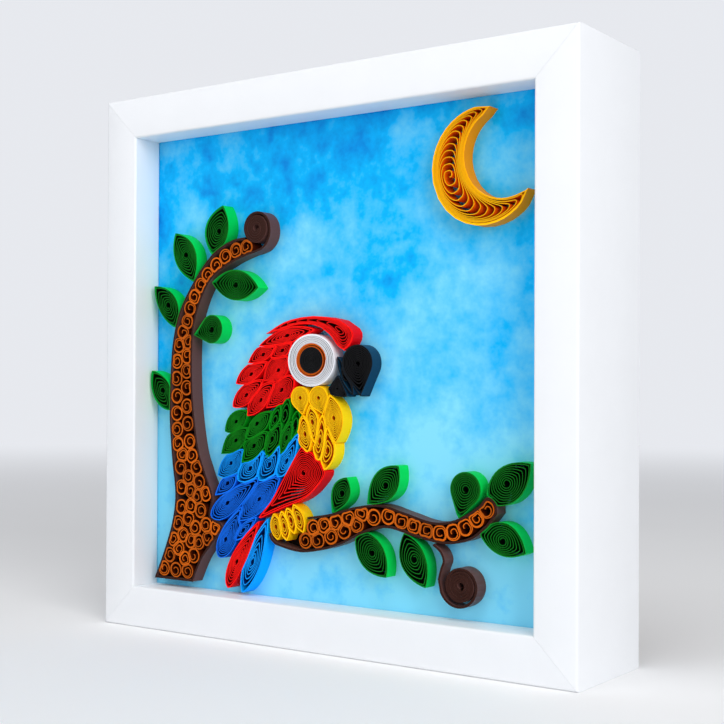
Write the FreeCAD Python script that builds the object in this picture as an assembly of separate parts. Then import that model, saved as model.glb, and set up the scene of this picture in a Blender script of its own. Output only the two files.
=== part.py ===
import FreeCAD, Part

import math
import os

os.makedirs("parts", exist_ok=True)

# A quilled paper picture in a deep, square box frame that stands on its bottom rail.
# X is the width, from the middle. Z is the height, from the bottom face. The front faces -Y,
# and Y is 0 halfway through the frame's depth.
#
# The frame is four mitred rails with an L-shaped section. A sky card lies against the shoulder
# behind the rails' lips, a back board lies behind it, and steel framer's points pushed into the
# rails hold both. The picture is paper strips on edge, glued to the card: coils rolled from
# strips and pinched into leaves and feathers, and strips bent along the trunk and the branch.

# Frame
frame_width = 250.0
frame_height = 250.0
frame_depth = 56.0
face_width = 19.0
recess_depth = 16.5
wall_thickness = 9.5
edge_chamfer = 0.8

# Card, board and points behind the picture
card_thickness = 1.5
board_thickness = 3.0
card_clearance = 0.5
point_thickness = 0.8
point_width = 8.0
point_reach = 9.0
point_bite = 5.0
points_per_rail = 2

# Paper strips
strip_height = 7.0
outline_strip = 1.0
leaf_wall = 0.8
feather_wall = 0.7
bark_wall = 0.75
pupil_wall = 1.1
base_paper = 0.4
glue_gap = 0.15
bark_radius = 3.6
bark_sides = 6
moon_eye_radius = 1.3
crown_eye_radius = 0.9
leaf_turns = 1.75
feather_turns = 1.4
wind_step = 45
spring = 1.3

# The picture was laid out in a window of this size, and stretches with the frame's window.
drawn_window = 212.0
drawn_margin = 19.0

window_width = frame_width - 2 * face_width
window_height = frame_height - 2 * face_width
stretch_x = window_width / drawn_window
stretch_z = window_height / drawn_window
swell = (stretch_x + stretch_z) / 2

front_y = -frame_depth / 2
back_y = frame_depth / 2
card_y = front_y + recess_depth
rim_y = card_y - strip_height
board_y = card_y + card_thickness
points_y = board_y + board_thickness


def at(x, z):
    """A place in the picture, stretched to the window."""
    return x * stretch_x, face_width + (z - drawn_margin) * stretch_z


def save(shape, name):
    shape.exportStep("parts/" + name + ".step")


def polygon(points, y):
    """Closed wire through (x, z) points, at one depth."""
    corners = [FreeCAD.Vector(x, y, z) for x, z in points]
    return Part.makePolygon(corners + corners[:1])


def slab(outline, holes, y_from, y_to):
    """Straight wall of one outline, with holes right through, from one depth to another."""
    wires = [polygon(points, y_from) for points in [outline] + holes]
    face = Part.makeFace(wires, "Part::FaceMakerBullseye")
    return face.extrude(FreeCAD.Vector(0, y_to - y_from, 0))


def on_card(outline, holes=()):
    """Paper standing on edge on the card, a strip's height tall."""
    return slab(outline, list(holes), rim_y, card_y)


# Curves

def spiral(eye, knots, step):
    """Curve round an eye: radius against angle in degrees, straight between the knots."""
    curve = []
    for (angle, radius), (next_angle, next_radius) in zip(knots, knots[1:]):
        count = math.ceil(abs(next_angle - angle) / step)
        for k in range(count):
            turn = math.radians(angle + (next_angle - angle) * k / count)
            reach = (radius + (next_radius - radius) * k / count) * swell
            curve.append((eye[0] + reach * math.cos(turn), eye[1] + reach * math.sin(turn)))
    turn = math.radians(knots[-1][0])
    reach = knots[-1][1] * swell
    return curve + [(eye[0] + reach * math.cos(turn), eye[1] + reach * math.sin(turn))]


def shifted(path, distance):
    """A path moved sideways, to its left as it runs, with mitred corners."""
    moved = []
    for k, (x, z) in enumerate(path):
        before = path[max(k - 1, 0)]
        after = path[min(k + 1, len(path) - 1)]
        first = math.atan2(z - before[1], x - before[0]) if k else None
        second = math.atan2(after[1] - z, after[0] - x) if k < len(path) - 1 else first
        first = second if first is None else first
        bend = (second - first + math.pi) % (2 * math.pi) - math.pi
        middle = first + bend / 2 + math.pi / 2
        reach = distance / max(math.cos(bend / 2), 0.6)
        moved.append((x + reach * math.cos(middle), z + reach * math.sin(middle)))
    return moved


def strip(path, thickness):
    """Outline of a strip on edge that follows a path."""
    return shifted(path, thickness / 2) + shifted(path, -thickness / 2)[::-1]


def petal(start, end, eye, left, right, sides):
    """Outline pinched at both ends, anticlockwise: each side bows most abreast of the eye."""
    length = math.dist(start, end)
    along = ((end[0] - start[0]) / length, (end[1] - start[1]) / length)
    share = ((eye[0] - start[0]) * along[0] + (eye[1] - start[1]) * along[1]) / length
    lean = math.log(0.5) / math.log(min(max(share, 0.35), 0.65))

    def side(k, bow):
        t = (1 - math.cos(math.pi * k / sides)) / 2
        s = t ** lean
        out = bow * swell * (4 * s * (1 - s)) ** 0.9
        return (
            start[0] + along[0] * length * t - along[1] * out,
            start[1] + along[1] * length * t + along[0] * out,
        )

    right_side = [side(k, -right) for k in range(1, sides)]
    left_side = [side(k, left) for k in range(sides - 1, 0, -1)]
    return [start] + right_side + [end] + left_side


def drop(tip, centre, radius, sides):
    """Outline of a teardrop, anticlockwise: a pinched tip and a round end."""
    radius = radius * swell
    length = math.dist(tip, centre)
    heading = math.atan2(tip[1] - centre[1], tip[0] - centre[0])
    open_angle = math.acos(min(radius / length, 0.95))
    sweep = 2 * math.pi - 2 * open_angle
    angles = [heading + open_angle + sweep * k / sides for k in range(sides + 1)]
    return [tip] + [
        (centre[0] + radius * math.cos(a), centre[1] + radius * math.sin(a)) for a in angles
    ]


def round_outline(centre, width, height, sides):
    """Outline of an oval, anticlockwise, given across and up."""
    turns = [2 * math.pi * k / sides for k in range(sides)]
    return [
        (
            centre[0] + width / 2 * stretch_x * math.cos(a),
            centre[1] + height / 2 * stretch_z * math.sin(a),
        )
        for a in turns
    ]


def pressed(outline, eye, neighbours, gap):
    """Pulls points towards the eye until the outline clears what already stands beside it."""
    reaches = [math.dist(p, eye) for p in outline]
    rays = [((p[0] - eye[0]) / r, (p[1] - eye[1]) / r) for p, r in zip(outline, reaches)]
    near = max(reaches) + 2 * gap
    edges = []
    for other in neighbours:
        for a, b in zip(other, other[1:] + other[:1]):
            middle = ((a[0] + b[0]) / 2, (a[1] + b[1]) / 2)
            if math.dist(middle, eye) < near + math.dist(a, b) / 2:
                edges.append((a, b))
    for k, (dx, dz) in enumerate(rays):
        for a, b in edges:
            ex, ez = b[0] - a[0], b[1] - a[1]
            slant = dx * ez - dz * ex
            if abs(slant) < 1e-9:
                continue
            ax, az = a[0] - eye[0], a[1] - eye[1]
            reach = (ax * ez - az * ex) / slant
            share = (ax * dz - az * dx) / slant
            back = gap * min(math.hypot(ex, ez) / abs(slant), 3)
            if 0 <= share <= 1 and 0 < reach < reaches[k] + back:
                reaches[k] = min(reaches[k], reach - back)
    for a, b in edges:
        vx, vz = a[0] - eye[0], a[1] - eye[1]
        for k in range(len(rays)):
            after = (k + 1) % len(rays)
            (px, pz), (qx, qz) = rays[k], rays[after]
            if px * vz - pz * vx < 0 or vx * qz - vz * qx < 0 or px * qz - pz * qx <= 0:
                continue
            if vx * (px + qx) + vz * (pz + qz) <= 0:
                continue
            sx, sz = px * reaches[k], pz * reaches[k]
            tx, tz = qx * reaches[after] - sx, qz * reaches[after] - sz
            share = (sx * tz - sz * tx) / (vx * tz - vz * tx)
            limit = 1 - gap / math.hypot(vx, vz)
            if share > limit:
                reaches[k] *= limit / share
                reaches[after] *= limit / share
    return [(eye[0] + dx * r, eye[1] + dz * r) for (dx, dz), r in zip(rays, reaches)]


def reach_along(outline, eye, angle):
    """Distance from the eye to an outline in one direction."""
    dx, dz = math.cos(angle), math.sin(angle)
    found = []
    for a, b in zip(outline, outline[1:] + outline[:1]):
        side_a = dx * (a[1] - eye[1]) - dz * (a[0] - eye[0])
        side_b = dx * (b[1] - eye[1]) - dz * (b[0] - eye[0])
        if side_a <= 0 < side_b:
            part = side_a / (side_a - side_b)
            x, z = a[0] + (b[0] - a[0]) * part, a[1] + (b[1] - a[1]) * part
            found.append((x - eye[0]) * dx + (z - eye[1]) * dz)
    return max(found)


def apothems(outline, eye):
    """Distance from the eye to the sides that meet at each point of an outline."""
    flats = []
    for a, b in zip(outline, outline[1:] + outline[:1]):
        area = (a[0] - eye[0]) * (b[1] - eye[1]) - (a[1] - eye[1]) * (b[0] - eye[0])
        flats.append(area / math.dist(a, b))
    return [(flats[k - 1] + flats[k]) / 2 for k in range(len(flats))]


def coil(outline, eye, wall, turns):
    """One rolled strip on edge, its first turn closed along the outline.

    The rest of the strip leaves that turn at the outline's first point and winds inwards to a
    round eye, so it lies close to the wall abreast of the eye and leaves gaps at the tips. A
    coil too slender for open turns is packed all through and keeps one slot.
    """
    flats = apothems(outline, eye)
    waist = min(flats)
    reaches = [math.dist(p, eye) for p in outline]
    insides = [reach * max(1 - wall / flat, 0.2) for reach, flat in zip(reaches, flats)]
    rays = [((p[0] - eye[0]) / r, (p[1] - eye[1]) / r) for p, r in zip(outline, reaches)]
    slot = [(eye[0] + dx * r, eye[1] + dz * r) for (dx, dz), r in zip(rays, insides)]
    body = on_card(outline, [slot])
    if turns <= 1 or waist < 3 * wall:
        return body
    start = math.atan2(rays[0][1], rays[0][0])
    first = insides[0] + wall / 2
    path = [(eye[0] + rays[0][0] * first, eye[1] + rays[0][1] * first)]
    end_reach = max(1.3 * wall, 0.3 * waist)
    steps = round((turns - 1) * 360 / wind_step)
    for k in range(1, steps + 1):
        angle = start + math.radians(wind_step) * k
        inside = reach_along(slot, eye, angle)
        loose = min(inside - 0.6 * wall, waist + (inside - waist) * 0.4)
        wound = (k / steps) ** 0.6
        reach = loose * (1 - wound) + end_reach * wound
        path.append((eye[0] + reach * math.cos(angle), eye[1] + reach * math.sin(angle)))
    return body.fuse(on_card(strip(path, wall))).removeSplitter()


# Frame: four rails, each a length of one L-shaped section between two mitres

def rail_section():
    """The section as (inward, depth) points: a lip in front, a rebate and a wall behind it."""
    c = edge_chamfer
    return [
        (0, front_y + c), (c, front_y), (face_width - c, front_y), (face_width, front_y + c),
        (face_width, card_y), (wall_thickness, card_y), (wall_thickness, back_y),
        (c, back_y), (0, back_y - c),
    ]


def rail(corner_from, corner_to, inward_from, inward_to):
    """A rail between two corners of the frame; inward says which way the mitres slope."""
    inward = ((inward_from[0] + inward_to[0]) / 2, (inward_from[1] + inward_to[1]) / 2)
    section = [
        FreeCAD.Vector(corner_from[0] + inward[0] * a, y, corner_from[1] + inward[1] * a)
        for a, y in rail_section()
    ]
    run = FreeCAD.Vector(corner_to[0] - corner_from[0], 0, corner_to[1] - corner_from[1])
    length = Part.Face(Part.makePolygon(section + section[:1])).extrude(run)
    between_mitres = [
        corner_from,
        corner_to,
        (corner_to[0] + inward_to[0] * face_width, corner_to[1] + inward_to[1] * face_width),
        (
            corner_from[0] + inward_from[0] * face_width,
            corner_from[1] + inward_from[1] * face_width,
        ),
    ]
    return length.common(slab(between_mitres, [], front_y, back_y))


def framer_point(rail_face, away, along):
    """A flat steel point that lies on the back board, its sharp end pushed into a rail."""
    bite, reach, half = point_bite, point_reach, point_width / 2
    outline = [(reach, -half), (reach, half), (0, half), (-bite, 0), (0, -half)]
    corners = [
        (
            rail_face[0] + away[0] * out + along[0] * side,
            rail_face[1] + away[1] * out + along[1] * side,
        )
        for out, side in outline
    ]
    return slab(corners, [], points_y, points_y + point_thickness)


half_width = frame_width / 2
points = []
for k in range(points_per_rail):
    share = (k + 0.5) / points_per_rail
    x = (share - 0.5) * window_width
    z = face_width + share * window_height
    points.append(framer_point((x, wall_thickness), (0, 1), (1, 0)))
    points.append(framer_point((x, frame_height - wall_thickness), (0, -1), (1, 0)))
    points.append(framer_point((wall_thickness - half_width, z), (1, 0), (0, 1)))
    points.append(framer_point((half_width - wall_thickness, z), (-1, 0), (0, 1)))
framer_points = Part.makeCompound(points)
save(framer_points, "framer_points")

bottom_left, bottom_right = (-half_width, 0), (half_width, 0)
top_left, top_right = (-half_width, frame_height), (half_width, frame_height)
rails = {
    "rail_bottom": rail(bottom_left, bottom_right, (1, 1), (-1, 1)),
    "rail_top": rail(top_left, top_right, (1, -1), (-1, -1)),
    "rail_left": rail(bottom_left, top_left, (1, 1), (1, -1)),
    "rail_right": rail(bottom_right, top_right, (-1, 1), (-1, -1)),
}
for name, shape in rails.items():
    save(shape.cut(framer_points), name)


# Sky card and back board: flat sheets in the rebate

def sheet(y_from, thickness):
    inset = wall_thickness + card_clearance
    right, top = half_width - inset, frame_height - inset
    return slab([(-right, inset), (right, inset), (right, top), (-right, top)], [],
                y_from, y_from + thickness)


save(sheet(card_y, card_thickness), "sky_card")
save(sheet(board_y, board_thickness), "back_board")

# Outlines of strips and rings that keep their shape, which the coils beside them keep clear of
standing = []
# Coils by name, each with its pinched outline, the fuller one that it may spring open to, its
# eye, its wall and turns, and the piece that it belongs to
coils = {}


def lay_coil(name, outline, eye, wall, turns, sprung=None, piece=None):
    coils[name] = {
        "pinched": outline, "sprung": sprung or outline, "eye": eye, "wall": wall,
        "turns": turns, "piece": piece or name,
    }


# Trunk: one dark strip, rolled up at the end of the arm, that runs down the right side, along
# the foot and back up the left side. Inside it, small coils stand on a brown paper base.

trunk_right = [
    (-77.5, 23), (-72, 33.5), (-66, 40.7), (-60, 47.5), (-60.3, 50.5), (-66.6, 53.5),
    (-65.3, 62.5), (-70, 73.5), (-74.4, 85), (-77.8, 106), (-78.6, 128), (-77.2, 142.8),
    (-72.2, 155.6), (-65.6, 164.2), (-55, 170), (-45, 173.3), (-40, 174.3),
]
trunk_left = [
    (-100.6, 23), (-95.5, 34), (-90, 48.5), (-87.8, 62.5), (-90, 80), (-91.7, 100),
    (-91.1, 120), (-89.7, 134.4), (-85.6, 148.3), (-76.8, 162), (-65.6, 173.9),
    (-54.4, 179.4), (-46, 180.6),
]
trunk_roll_eye = at(-39.8, 184.8)
trunk_roll = [(-72, 10), (0, 8), (86, 7), (218, 6.2), (850, 1.7)]
roll_step = 36

right_side = [at(x, z) for x, z in trunk_right[::-1]]
left_side = [at(x, z) for x, z in trunk_left]
arm_roll = spiral(trunk_roll_eye, trunk_roll, roll_step)
trunk_path = arm_roll[::-1] + right_side + left_side
trunk_strip = strip(trunk_path, outline_strip)
save(on_card(trunk_strip), "trunk_outline")
standing.append(trunk_strip)

bark_spots = [
    (-45.2, 176.4), (-51.4, 175.4), (-57.8, 172.9), (-63.4, 169.3), (-68.8, 165.1), (-72.9, 160.3),
    (-76.7, 155.3), (-79.6, 149.9), (-81.2, 143.7), (-83.8, 138.9), (-86.2, 132.7), (-80.8, 134.2),
    (-87.5, 125.3), (-81.2, 127.5), (-87.8, 117.2), (-81.4, 120.6), (-87.5, 108.9), (-81.4, 112.8),
    (-87.5, 100.8), (-81.1, 104.2), (-87.2, 93.3), (-80.6, 96.1), (-86.7, 86.4), (-79.4, 87.8),
    (-83.9, 81.4), (-77.8, 81.1), (-85, 75.6), (-75, 75.8), (-80, 71.1), (-73.3, 69.2),
    (-84.3, 66.2), (-78.3, 64.8), (-74.3, 62.5), (-69.2, 63.8), (-84.3, 57), (-78.3, 57.8),
    (-72.3, 56), (-86.5, 49.3), (-79.8, 51.8), (-75.5, 47.8), (-68.8, 49.5), (-63, 48.6),
    (-67.8, 43.3), (-89, 41.5), (-83.2, 44), (-73.3, 41.3), (-78.3, 41.5), (-91.8, 34),
    (-86, 37.5), (-82, 33), (-76.4, 34.8), (-95.2, 27.5), (-87.7, 27.3), (-80.4, 27.3),
]


def bark(spots, ground, name):
    """Small coils side by side, each flattened where it meets the next, on one paper base."""
    centres = [at(x, z) for x, z in spots]
    pieces = [slab(ground, [], card_y - base_paper, card_y)]
    for centre in centres:
        outline = []
        for k in range(bark_sides):
            angle = math.radians(360 * (k + 0.5) / bark_sides)
            dx, dz = math.cos(angle), math.sin(angle)
            reach = bark_radius * swell
            for other in centres:
                ox, oz = other[0] - centre[0], other[1] - centre[1]
                facing = ox * dx + oz * dz
                if facing > 0:
                    reach = min(reach, (ox * ox + oz * oz) / 2 / facing - glue_gap / 2)
            outline.append((centre[0] + reach * dx, centre[1] + reach * dz))
        outline = pressed(outline, centre, standing, glue_gap)
        pieces.append(coil(outline, centre, bark_wall, 1))
    save(pieces[0].fuse(pieces[1:]).removeSplitter(), name)


inner_side = outline_strip / 2 + glue_gap
trunk_ground = shifted(right_side[2:] + left_side, -inner_side)
bark(bark_spots, trunk_ground, "trunk_bark")


# Branch: a dark strip that starts beside the toes, goes along the top, round the far end and
# back along the underside, and curls up at the near end

branch_top = [
    (-9.6, 56.1), (2.6, 58.2), (16.8, 62.1), (29.7, 63.5), (41.5, 60.9), (55.3, 57.9),
    (66.5, 59.7), (76.5, 65.3), (80.5, 69.2),
]
branch_end = [(84, 67.2), (84.6, 63.5)]
branch_under = [
    (80.3, 58.3), (72.9, 52.9), (61.2, 50.3), (47.4, 52.1), (32.6, 55), (20.9, 52.4),
    (6.2, 45.6), (-11.5, 41.6), (-25, 43.2), (-29.4, 45.2),
]
branch_tail = [(-30.8, 48.2)]
branch_path = [at(x, z) for x, z in branch_top + branch_end + branch_under + branch_tail]
branch_strip = strip(branch_path, outline_strip)
save(on_card(branch_strip), "branch_outline")
standing.append(branch_strip)

branch_spots = [
    (-10.6, 46.3), (-3.9, 46.8), (3.2, 49), (10.2, 51.8), (16.9, 55),
    (-6.4, 52.2), (-0.4, 53.6), (5.9, 55.4), (12.3, 57.4), (19.4, 59.8),
    (25.6, 58.6), (33.1, 59.4), (39.6, 58), (45.9, 56.3), (51.8, 54.6),
    (58.4, 53.9), (64.8, 54.9), (70.4, 57.2), (75.6, 60.9), (80.2, 64.9),
]
branch_ground = shifted(branch_path[:19], -inner_side)
bark(branch_spots, branch_ground, "branch_bark")

twig_stem = [(55.3, 49.3), (58.8, 46.5), (60.3, 42.9), (59.1, 39.4), (57.9, 34.7)]
twig_eye = at(68.1, 33.4)
twig_roll = [(200, 9.6), (302, 8), (430, 7), (540, 6.4), (1100, 1.7)]
twig_path = [at(x, z) for x, z in twig_stem] + spiral(twig_eye, twig_roll, roll_step)
twig_strip = strip(twig_path, outline_strip)
save(on_card(twig_strip), "twig_curl")
standing.append(twig_strip)


# Leaves: coils pinched at both ends, and three left round at one end.
# Each row is the two tips, the eye, and how far each side bows out.

leaf_sides = 6
pinched_leaves = {
    "tree_leaf_top": ((-65.3, 173.3), (-59.4, 196.5), (-61.9, 184.8), 8.1, 6.3),
    "tree_leaf_upper": ((-77.2, 162.2), (-89, 185.6), (-82.4, 174.9), 6, 7.5),
    "tree_leaf_left": ((-87.8, 140.8), (-102.5, 161.1), (-93.7, 151.7), 4.1, 7.6),
    "tree_leaf_right": ((-65.8, 161.4), (-38, 158), (-51.4, 159.9), 7, 7),
    "tree_leaf_low": ((-92.7, 102.2), (-104, 120.9), (-97, 111.4), 5.2, 6.5),
    "branch_leaf_near": ((3.6, 58.3), (11.5, 74.8), (8.9, 67.9), 4.8, 5.1),
    "branch_leaf_up": ((22.1, 63.8), (38.2, 80.6), (31.5, 72.4), 6, 7),
    "branch_leaf_down": ((16.5, 53), (32.1, 33.8), (25, 43.6), 6.7, 7),
    "branch_leaf_middle": ((40.9, 52.9), (51.5, 31.2), (46.2, 42.5), 5.7, 7),
    "branch_leaf_tip_up": ((80.5, 67.5), (100, 83.8), (89.3, 75.7), 7.2, 7.2),
    "branch_leaf_tip_down": ((76.5, 56.2), (98, 48.8), (87.6, 52.9), 7.8, 5.3),
}
for name, (tip, far_tip, eye, left, right) in pinched_leaves.items():
    eye = at(*eye)
    outline = petal(at(*tip), at(*far_tip), eye, left, right, leaf_sides)
    lay_coil(name, outline, eye, leaf_wall, leaf_turns)

drop_leaves = {
    "tree_leaf_drop": ((-77, 137.5), (-66, 139.9), 6.6),
    "branch_leaf_drop": ((67.1, 59.9), (70.4, 72.4), 7.1),
}
for name, (tip, eye, radius) in drop_leaves.items():
    outline = drop(at(*tip), at(*eye), radius, 9)
    lay_coil(name, outline, at(*eye), leaf_wall, leaf_turns)


# Crescents: a coil bent between two sides. Its turns lie packed along both sides, and the
# spaces between them show as small arched gaps, one after another towards each tip.

def arc(centre, radius, angle_from, angle_to, pieces):
    angles = [
        math.radians(angle_from + (angle_to - angle_from) * k / pieces) for k in range(pieces + 1)
    ]
    middle = at(*centre)
    return [
        (
            middle[0] + radius * stretch_x * math.cos(a),
            middle[1] + radius * stretch_z * math.sin(a),
        )
        for a in angles
    ]


def between(side_a, side_b, along, across):
    """A place in the band between two sides: along from 0 to 1, across from -1 to 1."""
    spot = []
    for side in (side_a, side_b):
        position = min(max(along, 0), 1) * (len(side) - 1)
        k = min(int(position), len(side) - 2)
        part = position - k
        a, b = side[k], side[k + 1]
        spot.append((a[0] + (b[0] - a[0]) * part, a[1] + (b[1] - a[1]) * part))
    (ax, az), (bx, bz) = spot
    return (
        (ax + bx) / 2 + across * (ax - bx) / 2,
        (az + bz) / 2 + across * (az - bz) / 2,
    )


def arched_gaps(side_a, side_b, eye_along, first, last, pitch, wide, bow):
    """Gaps between the turns on one side of the eye, narrower towards the tip."""
    gaps = []
    heading = 1 if last > first else -1
    count = int(abs(last - first) / pitch)
    for k in range(count):
        near = first + heading * k * pitch
        far = near + heading * pitch * 0.45
        reach = wide * (1 - 0.5 * k / count)
        outline = []
        for across in (-reach, -reach / 2, reach / 2, reach):
            curve = heading * bow * (1 - (across / reach) ** 2)
            outline.append(between(side_a, side_b, far + curve, across))
        for across in (reach / 2, -reach / 2):
            curve = heading * bow * (1 - (across / reach) ** 2)
            outline.append(between(side_a, side_b, near + curve, across))
        gaps.append(outline)
    return gaps


def round_hole(centre, radius, sides):
    """The hole in the middle of a tightly rolled eye."""
    return round_outline(centre, 2 * radius, 2 * radius, sides)


moon_outer = arc((78, 202), 24, 83.2, 331.2, 16)
moon_inner = arc((87.5, 206.5), 18.3, 108.5, 304.1, 16)
moon_outer[0] = moon_inner[0] = at(80.8, 225.2)
moon_outer[-1] = moon_inner[-1] = at(98.2, 191)
moon_outline = moon_outer + moon_inner[-2:0:-1]
moon_eye = 0.44
moon_holes = (
    arched_gaps(moon_outer, moon_inner, moon_eye, 0.38, 0.06, 0.045, 0.55, 0.02)
    + arched_gaps(moon_outer, moon_inner, moon_eye, 0.50, 0.94, 0.045, 0.55, 0.02)
)
moon_centre = between(moon_outer, moon_inner, moon_eye, 0)
moon_holes.append(round_hole(moon_centre, moon_eye_radius, 6))
save(on_card(moon_outline, moon_holes), "moon")
standing.append(moon_outline)


# Bird's eye: a wide white ring, a thin brown one inside it and a tightly rolled black pupil

eye_centre = at(-8, 125)
eye_white = round_outline(eye_centre, 25.6, 22.9, 18)
iris_seat = round_outline(eye_centre, 16.6, 15.2, 14)
pupil_seat = round_outline(eye_centre, 12.9, 11.8, 12)
iris = pressed(iris_seat, eye_centre, [iris_seat], glue_gap)
pupil = pressed(pupil_seat, eye_centre, [pupil_seat], glue_gap)
save(on_card(eye_white, [iris_seat]), "eye_white")
save(on_card(iris, [pupil_seat]), "eye_iris")
save(coil(pupil, eye_centre, pupil_wall, leaf_turns), "eye_pupil")
standing.append(eye_white)


# Beak: a large drop, a slender coil behind it and a small three-cornered one below

lay_coil("beak_upper", drop(at(18.5, 109.4), at(16.7, 123.6), 7.9, 9), at(16.9, 123.4),
         leaf_wall, leaf_turns)
lay_coil("beak_side", petal(at(14.8, 109.9), at(6.2, 126.4), at(10.2, 117.6), 2.4, 2.4, 5),
         at(10.2, 117.6), feather_wall, 1)
beak_corners = [
    (1.5, 112.5), (3.2, 110.2), (7, 109.3), (11.2, 109.4), (10.2, 112.5), (8.4, 116),
    (6.5, 118.3), (4.3, 116.2),
]
lay_coil("beak_lower", [at(x, z) for x, z in beak_corners], at(6.3, 112.8),
         feather_wall, feather_turns)


# Crown of the hood: one coil bent over the eye

crown_top = [
    (-33.1, 137.2), (-26, 140.8), (-19.7, 142.9), (-9.1, 144.2), (0.9, 143.5), (9.7, 141.2),
    (14.6, 136.6), (13.2, 131.8), (9.7, 129.2),
]
crown_under = [
    (-33.1, 137.2), (-25.6, 138.6), (-19, 140.3), (-13, 141), (-7, 140.6), (-1, 138.4),
    (3.2, 135), (6.2, 131.4), (9.7, 129.2),
]
crown_a = [at(x, z) for x, z in crown_top]
crown_b = [at(x, z) for x, z in crown_under]
crown_outline = crown_b + crown_a[-2:0:-1]
crown_holes = (
    arched_gaps(crown_a, crown_b, 0.7, 0.58, 0.12, 0.08, 0.5, 0.02)
    + arched_gaps(crown_a, crown_b, 0.7, 0.76, 0.92, 0.08, 0.5, 0.02)
)
crown_eye = between(crown_a, crown_b, 0.68, 0)
crown_holes.append(round_hole(crown_eye, crown_eye_radius, 5))
save(on_card(crown_outline, crown_holes), "hood_crown")
standing.append(crown_outline)


# Feathers. Each row is the free tip, the tip under its neighbours, the eye and the two bows.

feather_sides = 4
hood_feathers = [
    ((-37.8, 131.6), (-6.2, 138.4), (-21.5, 136.2), 3.4, 2.2),
    ((-43.8, 124.1), (-27, 132.4), (-35, 127.9), 3, 2.6),
    ((-31, 126.4), (-18.6, 132.9), (-24.1, 129.6), 2.8, 2.8),
    ((-51, 114.8), (-32.4, 124.6), (-42.1, 119.1), 3.3, 2.8),
    ((-35, 116.2), (-19.6, 126.5), (-26.2, 120.8), 4.4, 4.3),
    ((-52.8, 104.2), (-34.6, 116.6), (-44.9, 109.7), 3.6, 3),
    ((-44.2, 100.3), (-28.3, 116.2), (-36.4, 107.5), 3.7, 3.2),
    ((-33.2, 103.8), (-17, 118.3), (-24.5, 112.2), 4.5, 4.2),
]
neck_feathers = [
    ((5.6, 89.2), (2.2, 110.2), (4.4, 100), 3.4, 4.2),
    ((-9.6, 84.2), (-12.6, 101.2), (-11.2, 92.8), 3.6, 2.8),
    ((-5.8, 88.6), (-8.6, 105.6), (-7.2, 98), 2.6, 2.8),
    ((-4.4, 80.6), (-1.6, 101.6), (-3.2, 90), 2.8, 2.6),
    ((-0.6, 77.4), (1.6, 97), (1, 86), 2.6, 3.8),
]
flight_feathers = [
    ((-63.7, 63.2), (-49.8, 73.4), (-55.8, 69.5), 3, 2.6),
    ((-65.7, 52.9), (-36.6, 72.6), (-55.9, 60.5), 4, 3.8),
    ((-49, 52.6), (-24.6, 74.7), (-37, 63.1), 4.6, 4.3),
    ((-61, 35.3), (-46.2, 60), (-57, 43.7), 3.8, 4),
    ((-52.1, 43.7), (-38.4, 55), (-46.4, 48.6), 2, 2.2),
]


def lay_feathers(rows, name, first=1, turns=feather_turns, piece=None):
    """Pinched coils that spring open, sideways only, until they meet what lies beside them."""
    for number, (tip, root, eye, left, right) in enumerate(rows, first):
        ends = at(*tip), at(*root), at(*eye)
        pinched = petal(*ends, left, right, feather_sides)
        sprung = petal(*ends, left * spring, right * spring, feather_sides)
        lay_coil(name + str(number), pinched, ends[2], feather_wall, turns, sprung, piece)


lay_feathers(hood_feathers, "hood_feather_")

neck_rounds = [((-12.6, 101), (-14.1, 108.6), 5), ((-1.4, 101.6), (-4, 108.6), 5.2)]
for number, (tip, eye, radius) in enumerate(neck_rounds, 1):
    lay_coil("neck_feather_" + str(number), drop(at(*tip), at(*eye), radius, 8), at(*eye),
             feather_wall, feather_turns)
lay_feathers(neck_feathers, "neck_feather_", 3)

breast_corners = [
    (-13.2, 87), (-16.6, 82.6), (-20.2, 77.2), (-25, 70), (-30, 62.6), (-37, 54.7),
    (-30, 57.2), (-22.6, 60.2), (-12.1, 64.2), (-5.3, 69.2), (-0.2, 76.6), (-6, 83.6),
]
lay_coil("breast", [at(x, z) for x, z in breast_corners], at(-11.7, 75.6), leaf_wall, leaf_turns)


green_coverts = [
    ((-57.5, 92.9), (-43.6, 102.6), (-50.9, 97.6), 3.5, 3.5),
    ((-59.8, 82.5), (-43.8, 94.9), (-50.9, 89.1), 3.8, 3.6),
    ((-45, 90), (-29.6, 102.6), (-38.6, 97), 3.4, 3.2),
    ((-47.4, 79.1), (-32.4, 93.4), (-40.4, 87), 4.5, 4.3),
    ((-33, 81.5), (-24.7, 97.6), (-30, 90.3), 3.6, 3.5),
    ((-31, 89), (-25.4, 105.6), (-28.4, 98.6), 2.4, 2.6),
    ((-24.8, 92), (-20.7, 109), (-22.8, 101), 2.6, 2.6),
    ((-24.7, 83.6), (-18.8, 98.4), (-21.6, 91), 2.6, 2.6),
    ((-18.9, 89.4), (-15.2, 103.4), (-17, 96.4), 2.2, 2.4),
]
lay_feathers(green_coverts, "green_covert_", piece="green_coverts")

blue_coverts = [
    ((-61.8, 72.6), (-45.4, 85), (-53.9, 78.7), 3.5, 5.2),
    ((-49.7, 70.8), (-35, 84.9), (-42.4, 76.8), 5.2, 5),
    ((-37.4, 71.3), (-25.6, 87.8), (-31.3, 78.9), 5, 4.8),
    ((-26.4, 73.4), (-14.6, 93.2), (-21.4, 80.6), 4.8, 3.2),
]
lay_feathers(blue_coverts, "blue_covert_", piece="blue_coverts")
lay_feathers(flight_feathers, "flight_feather_")

tail_feathers = {
    "tail_red": ((-55.4, 21.6), (-36.6, 53.4), (-50.2, 34), 5.6, 2.6),
    "tail_blue": ((-46.8, 20.3), (-32, 54.6), (-41, 34.6), 4.6, 4.6),
}
for name, (tip, root, eye, left, right) in tail_feathers.items():
    outline = petal(at(*tip), at(*root), at(*eye), left, right, leaf_sides)
    lay_coil(name, outline, at(*eye), leaf_wall, leaf_turns)

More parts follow.
